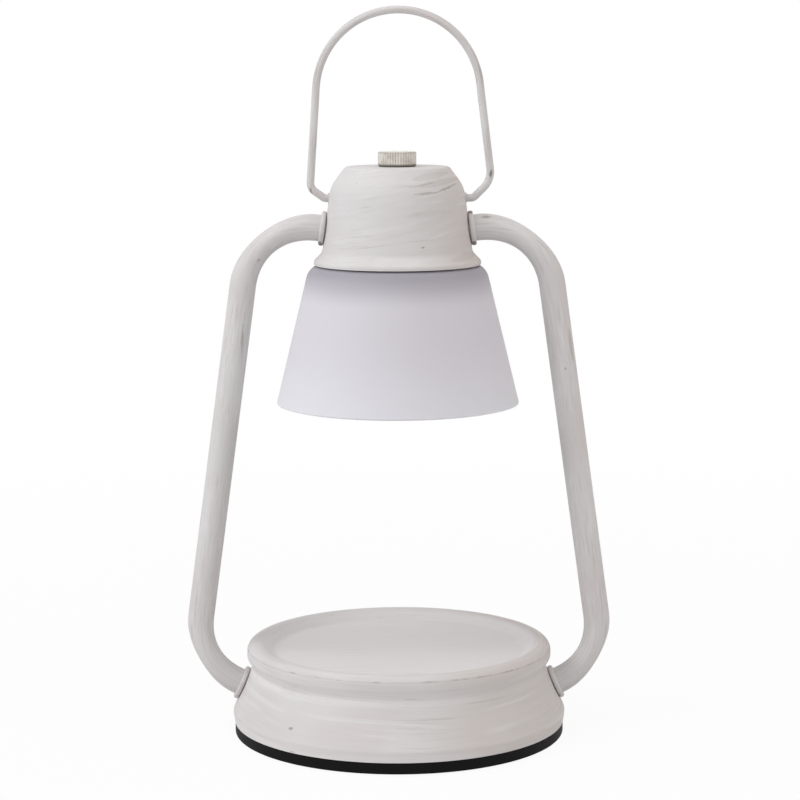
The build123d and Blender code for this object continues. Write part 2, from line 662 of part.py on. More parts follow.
def lampholder_body():
    """Moulded holder: threaded skirt, shade flange, cup, dome and threaded boss."""
    skirt_low = FLANGE_LOW - SKIRT_DROP
    skirt_r = SHADE_NECK_R - SKIRT_PLAY
    body = turned_polygon(
        (HOLDER_BORE, skirt_low),
        (skirt_r, skirt_low),
        (skirt_r, FLANGE_LOW),
        (FLANGE_R, FLANGE_LOW),
        (FLANGE_R, FLANGE_TOP),
        (HOLDER_R, FLANGE_TOP),
        (HOLDER_R, HOLDER_SHOULDER_H),
        (HOLDER_BOSS_R, BOSS_LOW),
        (HOLDER_BOSS_R, BOSS_TOP),
        (NIPPLE_R, BOSS_TOP),
        (NIPPLE_R, CAVITY_TOP),
        (HOLDER_BORE, CAVITY_TOP),
    )
    return body - Pos(WIRE_HOLE_X, 0, 0) * disc(WIRE_HOLE_R, CAVITY_TOP - OVERCUT, BOSS_TOP + OVERCUT)


def pin_slot(width, low, high):
    """A pair of curved slots about the axis, from the bulb's entry to its locked place."""
    arc = CenterArc((0, 0), HALF_SPAN, -TWIST, TWIST)
    slot = Pos(0, 0, low) * extrude(SlotArc(arc, width), high - low)
    return slot + Rot(0, 0, 180) * slot


def lampholder_insert():
    """Ceramic insert: keyhole slots through its face plate, and a contact chamber over each."""
    body = disc(HOLDER_BORE - INSERT_GAP, INSERT_LOW, CAVITY_TOP)
    body -= pin_slot(2 * (PIN_R + PIN_PLAY), INSERT_LOW - OVERCUT, CHAMBER_LOW + OVERCUT)
    body -= pin_slot(2 * (PIN_HEAD_R + PIN_PLAY), CHAMBER_LOW, CHAMBER_TOP)
    for side in (0, 180):
        entry = Rot(0, 0, side - TWIST) * Pos(HALF_SPAN, 0, 0)
        body -= entry * disc(PIN_HEAD_R + PIN_PLAY, INSERT_LOW - OVERCUT, CHAMBER_LOW + OVERCUT)
    return body


def lampholder_contacts():
    """A leaf over each locked pin, on a post from the chamber's ceiling."""
    leaf_low = PIN_TOP + LEAF_GAP
    leaf = Pos(HALF_SPAN, 0, leaf_low) * Box(LEAF_L, LEAF_W, LEAF_T, align=UP)
    leaf += Pos(HALF_SPAN, 0, 0) * disc(LEAF_POST_R, leaf_low, CHAMBER_TOP)
    return [leaf, Rot(0, 0, 180) * leaf]


def shade_gasket():
    return ring(SHADE_NECK_R, FLANGE_R, SHADE_TOP_H, FLANGE_LOW)


def shade_ring_nut():
    """Fluted ring on the holder's skirt, which presses the shade up against the gasket."""
    low = NECK_UNDERSIDE - RING_T
    body = fluted(RING_R, RING_FLUTE_DEPTH, RING_FLUTE_COUNT, low, NECK_UNDERSIDE)
    return body - disc(SHADE_NECK_R - SKIRT_PLAY, low - OVERCUT, NECK_UNDERSIDE + OVERCUT)


def glass_shade():
    """Blown glass cone with a rounded shoulder and a flat top with the holder's hole."""
    line = FilletPolyline(
        (SHADE_MOUTH_R, SHADE_TOP_H - SHADE_TALL),
        (SHADE_SHOULDER_R, SHADE_TOP_H),
        (SHADE_NECK_R, SHADE_TOP_H),
        radius=[SHADE_ROUND],
    )
    shade = sheet_of(line, SHADE_T)
    mouth = shade.edges().filter_by(GeomType.CIRCLE).sort_by(Axis.Z)[:2]
    return fillet(mouth, SHADE_LIP_ROUND)


# --- Bulb ------------------------------------------------------------------------------
def bulb_base():
    body = disc(BULB_BASE_R, REFLECTOR_TOP, BULB_TOP)
    return chamfer(body.edges().sort_by(Axis.Z)[-1], BULB_BASE_CHAMFER)


def bulb_pins():
    """Two pins with wide heads."""
    pin = disc(PIN_R, BULB_TOP, PIN_TOP) + disc(PIN_HEAD_R, BULB_TOP + PIN_NECK, PIN_TOP)
    return [Pos(side * HALF_SPAN, 0, 0) * pin for side in (1, -1)]


def bulb_reflector():
    """Pressed glass bowl with an upright rim around the lens."""
    bowl = ThreePointArc((BULB_R, REFLECTOR_LOW), (REFLECTOR_BULGE_R, REFLECTOR_TOP - BULGE_DROP),
                         (BULB_NECK_R, REFLECTOR_TOP))
    rim = Line((BULB_R, BULB_FACE), (BULB_R, REFLECTOR_LOW))
    return sheet_of(Wire(rim.edges() + bowl.edges()), REFLECTOR_T)


def bulb_lens():
    low = BULB_FACE + LENS_RECESS
    return disc(BULB_R - REFLECTOR_T, low, low + LENS_T)


def bulb_capsule():
    """Quartz capsule, hanging from the bulb's base."""
    body = disc(CAPSULE_R, REFLECTOR_TOP - CAPSULE_L, REFLECTOR_TOP)
    return fillet(body.edges().sort_by(Axis.Z)[0], CAPSULE_ROUND)


# --- Wiring ----------------------------------------------------------------------------
BLOCK_LOW = BALLAST_TOP
BLOCK_HIGH = BLOCK_LOW + BLOCK_T
CHIMNEY_TOP = BLOCK_HIGH + CHIMNEY_RISE
POLE_H = BLOCK_LOW + POLE_RISE


def terminal_block():
    """Two-pole block on the ballast: a tunnel for each pole and a chimney for each screw."""
    body = Pos(BLOCK_X, 0, BLOCK_LOW) * Box(BLOCK_L, BLOCK_W, BLOCK_T, align=UP)
    body = fillet(body.edges().filter_by(Axis.Z), BLOCK_ROUND)
    for side in (1, -1):
        for step in (1, -1):
            place = Pos(BLOCK_X + step * CLAMP_X, side * POLE_APART, 0)
            body += place * disc(CHIMNEY_R, BLOCK_HIGH, CHIMNEY_TOP)
            body -= place * disc(CLAMP_SCREW_R, POLE_H, CHIMNEY_TOP + OVERCUT)
        tunnel = Pos(BLOCK_X, side * POLE_APART, POLE_H) * Rot(0, 90, 0)
        body -= tunnel * Cylinder(POLE_BORE, BLOCK_L + 2 * OVERCUT)
    return body


def terminal_screws():
    top = CHIMNEY_TOP - CLAMP_SUNK
    screw = disc(CLAMP_SCREW_R, top - CLAMP_SCREW_L, top)
    return [Pos(BLOCK_X + step * CLAMP_X, side * POLE_APART, 0) * screw
            for side in (1, -1) for step in (1, -1)]


def lead_wires():
    """The two conductors from the terminal block, up through the right arm, to the lampholder."""
    level = BALLAST_TOP + LEAD_LEVEL
    axis = BASE_JOINT.z_dir
    arm_entry = arm_corner(BASE_JOINT, BASE_JOINT.origin.X - (ARM_BASE_H - level) * axis.X / axis.Z)
    climb = arm_corner(CAP_JOINT, LEAD_RISE_X)
    over = BOSS_TOP + LEAD_OVER
    tunnel_x = BLOCK_X + CLAMP_X
    end_x = BLOCK_X + BLOCK_L / 2
    wires = []
    for side in (1, -1):
        y = side * LEAD_APART
        route = [
            (tunnel_x, side * POLE_APART, POLE_H),
            (end_x + LEAD_BEND, side * POLE_APART, POLE_H),
            (arm_entry.X - LEAD_RUN, y, level),
            (arm_entry.X, y, level),
            (ARM_LOW.X, y, ARM_LOW.Z),
            (ARM_TOP.X, y, ARM_TOP.Z),
            (climb.X, y, climb.Z),
            (climb.X, y, over),
            (WIRE_HOLE_X, y, over),
            (WIRE_HOLE_X, y, CAVITY_TOP),
        ]
        bends = [LEAD_BEND, LEAD_BEND, LEAD_ARM_BEND, LOW_BEND, TOP_BEND, LEAD_BEND, LEAD_BEND, LEAD_BEND]
        wires.append(bar_along(FilletPolyline(*route, radius=bends), LEAD_R))
    return wires


# --- Every piece in its own file -------------------------------------------------------
def both_sides(name, right):
    """A right-hand piece and its mirror image."""
    return {name + "_right": right, name + "_left": mirror(right, about=Plane.YZ)}


def all_pieces():
    base = base_sheet()
    cap = cap_sheet()
    return {
        "base_shell": base_shell(base),
        "bottom_cover": bottom_cover(),
        "foot_pad": foot_pad(),
        "cover_tabs": cover_tabs(),
        "cover_screws": cover_screws(),
        "ballast_disc": ballast_disc(),
        "ballast_screws": ballast_screws(),
        "cord_grommet": cord_grommet(base),
        "terminal_block": terminal_block(),
        "terminal_screws": terminal_screws(),
        "lead_wires": lead_wires(),
        **both_sides("arm_tube", arm_tube()),
        **both_sides("lower_collar", BASE_JOINT * collar()),
        **both_sides("upper_collar", CAP_JOINT * collar()),
        "lower_arm_nuts": arm_nuts(BASE_JOINT),
        "upper_arm_nuts": arm_nuts(CAP_JOINT),
        "cap_shell": cap_shell(cap),
        "handle_bushes": handle_bushes(cap),
        "handle_bail": handle_bail(),
        "top_knob": top_knob(),
        "threaded_nipple": threaded_nipple(),
        "nipple_washer": nipple_washer(),
        "nipple_locknut": nipple_locknut(),
        "lampholder_body": lampholder_body(),
        "lampholder_insert": lampholder_insert(),
        "lampholder_contacts": lampholder_contacts(),
        "shade_gasket": shade_gasket(),
        "shade_ring_nut": shade_ring_nut(),
        "glass_shade": glass_shade(),
        "bulb_base": bulb_base(),
        "bulb_pins": bulb_pins(),
        "bulb_reflector": bulb_reflector(),
        "bulb_lens": bulb_lens(),
        "bulb_capsule": bulb_capsule(),
    }


os.makedirs("parts", exist_ok=True)
for name, piece in all_pieces().items():
    solids = piece if isinstance(piece, list) else [piece]
    export_step(Compound(children=[s for p in solids for s in p.solids()]), f"parts/{name}.step")
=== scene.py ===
"""A candle warmer lamp in brushed off-white paint.

Every piece gets its finish here, two get more detail, and the studio and the camera are set up.
"""

import math

import bmesh
import bpy
from mathutils import Matrix, Vector


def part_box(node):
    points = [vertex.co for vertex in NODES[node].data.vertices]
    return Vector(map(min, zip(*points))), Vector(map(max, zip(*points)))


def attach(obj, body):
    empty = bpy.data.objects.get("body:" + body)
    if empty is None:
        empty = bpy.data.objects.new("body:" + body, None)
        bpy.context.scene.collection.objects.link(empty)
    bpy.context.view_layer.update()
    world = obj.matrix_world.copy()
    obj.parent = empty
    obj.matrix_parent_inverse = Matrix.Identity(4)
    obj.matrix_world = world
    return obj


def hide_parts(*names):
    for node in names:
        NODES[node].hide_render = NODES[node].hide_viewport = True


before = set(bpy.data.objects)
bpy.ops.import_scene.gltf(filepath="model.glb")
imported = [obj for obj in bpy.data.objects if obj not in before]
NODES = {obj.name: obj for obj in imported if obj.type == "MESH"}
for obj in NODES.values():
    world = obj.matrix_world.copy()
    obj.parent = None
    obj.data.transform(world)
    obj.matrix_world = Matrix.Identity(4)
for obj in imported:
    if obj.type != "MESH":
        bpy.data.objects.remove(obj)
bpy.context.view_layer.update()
MM = 0.001
TINY = 1e-9                 # keeps a length from being 0 where something is divided by it

# --- The camera, as it stands in front of the lamp -------------------------------------
CAMERA_BACK = 0.9603        # metres from the lamp's axis
CAMERA_ASIDE = 0.0008
CAMERA_HEIGHT = 0.2710
CAMERA_PITCH = 8.15         # degrees that it looks down
CAMERA_ROLL = -0.2
SENSOR_WIDTH = 36.0
LENS = 110.40

# --- Light: about 1 in all on a front face, so that a colour renders as it is written --
ROOM_LIGHT = 0.54           # from all around
SOFTBOXES = (               # name, place, size, power and tint
    ("key_softbox", (-1.30, -0.60, 1.28), 1.6, 19.2, (0.98, 0.99, 1.01)),
    ("fill_softbox", (1.26, -0.54, 1.20), 1.4, 6.2, (1.0, 0.91, 0.86)),
    ("top_softbox", (0.0, -0.35, 2.00), 1.6, 5.6, (1.0, 1.0, 1.0)),
)
SOFTBOX_AIM = (0.0, 0.0, 0.13)

FLOOR_HALF = 6.0
FLOOR_GAP = 0.0001          # the floor lies this far below the foot
FLOOR_SHADE = 0.78          # the matt white that the lamp's shadow falls on
FLOOR_GLOW = 0.93           # how much of the floor near the lamp is plain white where it is seen
FLOOR_FADE = (0.10, 0.90)   # it fades to all white between these distances

# --- Places on the lamp that the finishes follow ---------------------------------------
BASE_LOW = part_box("base_shell")[0]
SHADE_LOW, SHADE_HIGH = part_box("glass_shade")
KNOB_LOW, KNOB_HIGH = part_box("top_knob")
RIM_LINE_H = 0.0343         # the worn line round the rim's outer side
RIM_OUTER_R = 0.0594        # the rim's outer side lies beyond this
DISH_EDGE_R = 0.0500        # the dish's flat floor lies within this
DISH_TOP_H = 0.0333         # and below this
DISH_WALL_R = 0.0551        # its sloping wall ends here
NECK_H = 0.0270             # the middle of the neck under the rim

# The arm's centreline in its own plane, as distance from the axis and height
ARM_TOP_CORNER = (0.0572, 0.2051)
ARM_LOW_CORNER = (0.0817, 0.0275)
ARM_TOP_RISE = math.radians(7.6)
ARM_LOW_RISE = math.radians(24.0)
ARM_TOP_BLEND = 0.045       # how softly it goes round each corner
ARM_LOW_BLEND = 0.031

# The handle's bow, with its centre as (x, z), and how far its two legs lean
BOW_CENTRE = (0.0005, 0.2540)
BOW_R = 0.0320
LEAN_RIGHT = math.radians(6.9)
LEAN_LEFT = math.radians(3.8)

# Hand-made marks on the front: two ends as (x, z), half of the width, all in mm, and the strength
CAP_MARKS = (
    ((5.7, 215.9), (16.3, 216.6), 0.55, 0.38),
    ((14.0, 216.1), (23.4, 219.6), 0.60, 0.45),
    ((1.5, 218.2), (16.2, 220.5), 0.40, 0.25),
    ((8.9, 195.7), (10.5, 196.2), 0.50, 0.60),
    ((3.0, 198.0), (14.0, 198.9), 0.40, 0.15),
    ((5.0, 221.5), (20.0, 223.6), 1.60, 0.13),
    ((6.0, 218.6), (25.5, 221.4), 1.40, 0.17),
    ((20.0, 190.5), (33.0, 192.5), 1.60, 0.12),
    ((2.0, 207.5), (22.0, 209.5), 1.30, 0.08),
)
BASE_MARKS = (
    ((-42.6, 13.3), (-40.2, 14.2), 0.55, 0.60),
    ((-42.0, 5.4), (-39.6, 5.2), 0.45, 0.70),
    ((-6.0, 20.2), (21.0, 19.9), 0.45, 0.14),
    ((-4.0, 17.4), (14.0, 17.2), 0.45, 0.12),
    ((4.0, 13.0), (30.0, 13.4), 0.40, 0.10),
    ((20.0, 24.6), (44.0, 24.2), 0.45, 0.12),
    ((1.0, 27.6), (9.0, 27.4), 0.40, 0.22),
)
ARM_MARKS = (
    ((-60.6, 165.6), (-61.4, 150.6), 0.50, 0.40),
    ((-54.8, 188.9), (-53.4, 190.1), 0.45, 0.55),
    ((32.6, 205.9), (37.0, 205.9), 0.50, 0.55),
    ((67.0, 163.0), (69.0, 148.0), 0.80, 0.22),
    ((65.5, 147.2), (66.0, 145.8), 0.55, 0.50),
)
COLLAR_MARKS = (
    ((27.4, 209.6), (29.3, 207.2), 1.20, 0.85),
    ((29.3, 196.6), (31.2, 194.2), 1.20, 0.85),
    ((-31.2, 196.8), (-29.4, 194.4), 1.10, 0.85),
)
BAIL_MARKS = (
    ((36.6, 224.6), (36.4, 220.8), 0.70, 0.80),
    ((-33.9, 217.6), (-33.3, 213.8), 0.60, 0.65),
    ((-31.6, 238.0), (-31.5, 230.0), 0.30, 0.35),
)


def srgb(*levels):
    """A colour given by its red, green and blue from 0 to 255, as the shader wants it."""
    shares = [level / 255 for level in levels]
    return tuple(c / 12.92 if c <= 0.04045 else ((c + 0.055) / 1.055) ** 2.4 for c in shares) + (1.0,)


# --- Making materials ------------------------------------------------------------------
MIX_SOCKETS = {"VECTOR": (4, 5, 1), "RGBA": (6, 7, 2)}     # a Mix node's two inputs and its output


class Reading:
    """An output of a node. Arithmetic on it adds Math nodes to the same tree."""

    def __init__(self, wiring, socket):
        self.wiring = wiring
        self.socket = socket

    def calc(self, operation, *values):
        return self.wiring.add("ShaderNodeMath", {"operation": operation}, dict(enumerate(values)))

    def __add__(self, other):
        return self.calc("ADD", self, other)

    def __radd__(self, other):
        return self.calc("ADD", other, self)

    def __sub__(self, other):
        return self.calc("SUBTRACT", self, other)

    def __rsub__(self, other):
        return self.calc("SUBTRACT", other, self)

    def __mul__(self, other):
        return self.calc("MULTIPLY", self, other)

    def __rmul__(self, other):
        return self.calc("MULTIPLY", other, self)

    def __truediv__(self, other):
        return self.calc("DIVIDE", self, other)

    def __pow__(self, other):
        return self.calc("POWER", self, other)

    def __abs__(self):
        return self.calc("ABSOLUTE", self)


class Wiring:
    """The nodes of a material or of the room, which it empties first."""

    def __init__(self, tree):
        self.tree = tree
        tree.nodes.clear()
        self.place = self.add("ShaderNodeTexCoord", out="Object")

    def feed(self, socket, value):
        if isinstance(value, Reading):
            self.tree.links.new(value.socket, socket)
        else:
            socket.default_value = value

    def add(self, kind, settings=None, sockets=None, out=0):
        """Adds a node with its settings and its sockets' values or links, and reads one output."""
        node = self.tree.nodes.new(kind)
        for name, value in (settings or {}).items():
            setattr(node, name, value)
        for name, value in (sockets or {}).items():
            self.feed(node.inputs[name], value)
        return Reading(self, node.outputs[out])

    def beside(self, reading, out):
        """Another output of the same node."""
        return Reading(self, reading.socket.node.outputs[out])

    def xyz(self):
        """The three coordinates of the surface in the lamp's frame, in metres."""
        x = self.add("ShaderNodeSeparateXYZ", sockets={0: self.place})
        return x, self.beside(x, 1), self.beside(x, 2)

    def joined(self, x, y, z):
        return self.add("ShaderNodeCombineXYZ", sockets={0: x, 1: y, 2: z})

    def noise(self, where, scale, detail=2.0, roughness=0.5, fourth=None):
        settings = {"noise_dimensions": "3D" if fourth is None else "4D"}
        sockets = {"Vector": where, "Scale": scale, "Detail": detail, "Roughness": roughness}
        if fourth is not None:
            sockets["W"] = fourth
        return self.add("ShaderNodeTexNoise", settings, sockets)

    def cells(self, where, scale, randomness=1.0):
        """The distance to the nearest of scattered points."""
        sockets = {"Vector": where, "Scale": scale, "Randomness": randomness}
        return self.add("ShaderNodeTexVoronoi", {}, sockets, "Distance")

    def rise(self, value, low, high):
        """0 below low, 1 above high, and a smooth step between them."""
        sockets = {"Value": value, "From Min": low, "From Max": high}
        return self.add("ShaderNodeMapRange", {"interpolation_type": "SMOOTHSTEP"}, sockets)

    def mix(self, share, first, second, kind="RGBA"):
        """A blend of two colours or, where kind is VECTOR, of two places."""
        a, b, out = MIX_SOCKETS[kind]
        return self.add("ShaderNodeMix", {"data_type": kind}, {0: share, a: first, b: second}, out)

    def seen_directly(self):
        """1 for rays from the camera, a mirror or a glass, and 0 for light that falls on things."""
        camera = self.add("ShaderNodeLightPath", out="Is Camera Ray")
        mirror = self.beside(camera, "Is Glossy Ray")
        glass = self.beside(camera, "Is Transmission Ray")
        return camera.calc("MAXIMUM", camera.calc("MAXIMUM", camera, mirror), glass)

    def finish_with(self, kind, surface):
        """Ends the tree in its output node."""
        output = self.tree.nodes.new(kind)
        self.tree.links.new(surface.socket, output.inputs["Surface"])


class Finish(Wiring):
    """A material under construction, with one Principled shader."""

    def __init__(self, name, **sockets):
        self.material = bpy.data.materials.new(name)
        self.material.use_nodes = True
        super().__init__(self.material.node_tree)
        shader = self.add("ShaderNodeBsdfPrincipled")
        self.inputs = shader.socket.node.inputs
        self.finish_with("ShaderNodeOutputMaterial", shader)
        self.set(**sockets)

    def set(self, **sockets):
        """Sets the shader's sockets; an underscore in a name stands for a space."""
        for name, value in sockets.items():
            self.feed(self.inputs[name.replace("_", " ")], value)

    def bump(self, height, depth):
        """Makes the surface rise by depth metres where height is 1."""
        sockets = {"Height": height, "Distance": depth, "Strength": 1.0}
        self.set(Normal=self.add("ShaderNodeBump", {}, sockets))

    def hollows(self, width):
        """1 in the open, falling to 0 in corners and gaps narrower than width."""
        return self.add("ShaderNodeAmbientOcclusion", {"samples": 8}, {"Distance": width}, "AO")


# --- Brush directions: three coordinates and a fourth, slow along the strokes, quick across
ROUND_CHANGE = 1.7          # how much a stroke changes on its way round a spun piece
CAP_CHANGE = 1.5
CAP_SLANT = 0.16            # rise of the cap's strokes on their way to the right
FLOOR_CHANGE = 26.0         # changes per metre along the dish's straight strokes
TUBE_CHANGE = 75.0          # and along a tube
TUBE_DRIFT = 3.0
ARM_STROKES, BAIL_STROKES = 5.2, 1.5        # changes round a tube, for strokes of 1 mm


def reach(first, second, least=0.0):
    """How far a point lies from an axis, by its distances in two directions."""
    square = first * first + second * second
    return (square + least if least else square) ** 0.5


def wandering(finish, scale, span):
    """How far the strokes stray to both sides, by a noise of that scale."""
    return (finish.noise(finish.place, scale, 1.0) - 0.5) * span


def strokes_round(finish, fineness):
    """Strokes that run round the lamp's axis and wander a little up and down, on a spun piece."""
    x, y, z = finish.xyz()
    radius = reach(x, y, TINY)
    wander = wandering(finish, 9.0, 14 * MM)
    across = 1.0 / MM / fineness
    where = finish.joined(x / radius * ROUND_CHANGE, y / radius * ROUND_CHANGE, radius * across)
    return where, (z + wander) * across


def strokes_on_base(finish, fineness):
    """Strokes round the base's outside, and straight across the floor of its dish."""
    x, y, z = finish.xyz()
    wander = wandering(finish, 11.0, 12 * MM)
    across = 1.0 / MM / fineness
    on_floor = 1.0 - finish.rise(reach(x, y), DISH_EDGE_R, DISH_EDGE_R + 2 * MM)
    on_floor = on_floor * (1.0 - finish.rise(z, DISH_TOP_H, DISH_TOP_H + MM))
    straight = finish.joined(x * FLOOR_CHANGE, (y + wander) * across, 0.0)
    round_at, round_fourth = strokes_round(finish, fineness)
    return finish.mix(on_floor, round_at, straight, "VECTOR"), round_fourth * (1.0 - on_floor)


def strokes_on_cap(finish, fineness):
    """Strokes that run round the cap on a slant, up to the right."""
    x, y, z = finish.xyz()
    radius = reach(x, y, TINY)
    slant = x * CAP_SLANT + wandering(finish, 14.0, 10 * MM)
    across = 1.0 / MM / fineness
    where = finish.joined(x / radius * CAP_CHANGE, y / radius * CAP_CHANGE, radius * across * 0.5)
    return where, (z - slant) * across


def strokes_along_arm(finish, fineness):
    """Strokes that follow the bent arm: the angle round the tube, and the way along it."""
    x, y, z = finish.xyz()
    out = abs(x)
    slant = math.atan2(ARM_LOW_CORNER[0] - ARM_TOP_CORNER[0], ARM_TOP_CORNER[1] - ARM_LOW_CORNER[1])

    def beyond(corner, normal_x, normal_z):
        return (out - corner[0]) * normal_x + (z - corner[1]) * normal_z

    side = beyond(ARM_TOP_CORNER, math.cos(slant), math.sin(slant))
    top = beyond(ARM_TOP_CORNER, -math.sin(ARM_TOP_RISE), math.cos(ARM_TOP_RISE))
    low = beyond(ARM_LOW_CORNER, math.sin(ARM_LOW_RISE), -math.cos(ARM_LOW_RISE))
    off = side.calc("SMOOTH_MAX", side, top, ARM_TOP_BLEND)
    off = off.calc("SMOOTH_MAX", off, low, ARM_LOW_BLEND)
    return tube_strokes(finish, off, y, z - out, ARM_STROKES / fineness)


def strokes_along_bail(finish, fineness):
    """Strokes that follow the handle's wire: up its legs and round its bow."""
    x, y, z = finish.xyz()
    aside = x - BOW_CENTRE[0]
    up = z - BOW_CENTRE[1]
    bow = reach(aside, up) - BOW_R
    on_right = finish.rise(x, -MM, MM)
    lean = math.tan(LEAN_LEFT) + on_right * (math.tan(LEAN_RIGHT) - math.tan(LEAN_LEFT))
    legs = abs(aside) - BOW_R + up * lean
    over = finish.rise(up, 0.0, 4 * MM)
    off = bow * over + legs * (1.0 - over)
    round_bow = (math.pi / 2 - up.calc("ARCTAN2", abs(aside), up)) * BOW_R
    along = round_bow * over + (up + abs(aside) - BOW_R) * (1.0 - over)
    return tube_strokes(finish, off, y, along, BAIL_STROKES / fineness)


def tube_strokes(finish, off, side, along, per_turn):
    """Coordinates on a round bar, from how far off its centreline a point lies each way."""
    radius = reach(off, side, TINY)
    where = finish.joined(off / radius * per_turn, side / radius * per_turn, along * TUBE_CHANGE)
    return where, along * TUBE_DRIFT


# --- The paint -------------------------------------------------------------------------
PAINT = srgb(209, 207, 206)
PAINT_WARM = srgb(205, 200, 199)
PAINT_PALE = srgb(217, 216, 216)
PAINT_STROKE = srgb(181, 174, 170)
PAINT_WORN = srgb(124, 113, 104)
# the darker, warmer paint below is painted shade on the right side
PAINT_SHADED_RIGHT = srgb(190, 176, 166)
# the paler paint below is painted light in the dish, the neck and low down
PAINT_LIT = srgb(222, 218, 218)

# Noise scales, in cells per metre
CLOUD_SCALE, PATCH_SCALE, SPECK_SCALE, RAGGED_SCALE, GRAIN_SCALE = 26.0, 48.0, 160.0, 700.0, 1500.0

# Noise levels between which each trait of the paint comes in
CLOUD_EDGE = (0.36, 0.64)           # from warm paint to plain paint
THIN_EDGE = (0.50, 0.68)            # patches where it is thin
BAND_EDGE = (0.52, 0.74)            # pale bands
HAIR_EDGE = (0.46, 0.78)            # lines that single hairs of the brush leave
DRAG_EDGE = (0.60, 0.70)            # where the brush dragged the paint off
DASH_EDGE = (0.50, 0.66)            # dashes of the worn line round the rim
SPECK_EDGE = (0.03, 0.09)           # worn specks, by the distance to their middles
SPECK_CLOUDS = (0.54, 0.62)         # which lie only in these clouds
CORNER_WIDTH = 1.8 * MM             # corners narrower than this are darkened, part dirt and part painted shade
CORNER_EDGE = (0.20, 0.70)
PAINT_DEPTH = 0.06 * MM


def marks_on_front(finish, marks):
    """Where a brush or a knock took paint off the front: a tapered, ragged stroke for each mark."""
    x, y, z = finish.xyz()
    ragged = (finish.noise(finish.place, RAGGED_SCALE, 2.0, 0.6) - 0.5) * 0.9 * MM
    total = None
    for start, end, half_width, strength in marks:
        run = Vector(end) - Vector(start)
        way = run.normalized()
        off_x = x - start[0] * MM
        off_z = z - start[1] * MM
        share = (off_x * way.x + off_z * way.y) * (1 / (run.length * MM))
        across = abs(off_x * way.y - off_z * way.x)
        taper = share * (1.0 - share) * (4 * half_width * MM)
        inside = finish.rise(taper - across + ragged, -0.10 * MM, 0.35 * MM)
        mark = inside * finish.rise(taper, 0.0, 0.1 * MM)
        total = mark * strength if total is None else total + mark * strength
    return total * (1.0 - finish.rise(y, 1 * MM, 3 * MM))


def worn_rim(finish):
    """The line round the rim's outer side where the paint is rubbed thin, in dashes."""
    x, y, z = finish.xyz()
    radius = reach(x, y)
    dashes = finish.noise(finish.joined(x / radius * 9.0, y / radius * 9.0, 0.0), 1.0, 3.0, 0.65)
    height = RIM_LINE_H + (dashes - 0.5) * 0.5 * MM
    line = 1.0 - finish.rise(abs(z - height), 0.10 * MM, 0.42 * MM)
    outside = finish.rise(radius, RIM_OUTER_R, RIM_OUTER_R + 0.4 * MM)
    return line * outside * (0.16 + 0.34 * finish.rise(dashes, *DASH_EDGE))


def painted_shade_on_right(finish, clouds):
    """Painted shade on the right side, away from the key light: warmer and darker paint, in broad
    clouds.
    """
    x, y, z = finish.xyz()
    return finish.rise(x, 2 * MM, 36 * MM) * (0.30 + 0.40 * clouds)


def painted_light_low_and_in_dish(finish):
    """Painted light, as paler paint: 1 on the dish's floor and sloping wall, in the neck and low down.

    The neck and the lowest part of the skirt get less of it on the right.
    """
    x, y, z = finish.xyz()
    inside = 1.0 - finish.rise(reach(x, y), DISH_WALL_R - 2 * MM, DISH_WALL_R + MM)
    over = finish.rise(z, NECK_H - 4 * MM, NECK_H - MM)
    neck = over * (1.0 - finish.rise(z, NECK_H + 2 * MM, NECK_H + 5 * MM))
    skirt = 1.0 - finish.rise(z, BASE_LOW.z + 1.5 * MM, BASE_LOW.z + 5 * MM)
    outside = (neck + skirt) * (1.2 - 0.9 * finish.rise(x, 5 * MM, 45 * MM))
    return inside * finish.rise(z, DISH_TOP_H - 3 * MM, DISH_TOP_H - MM) + outside


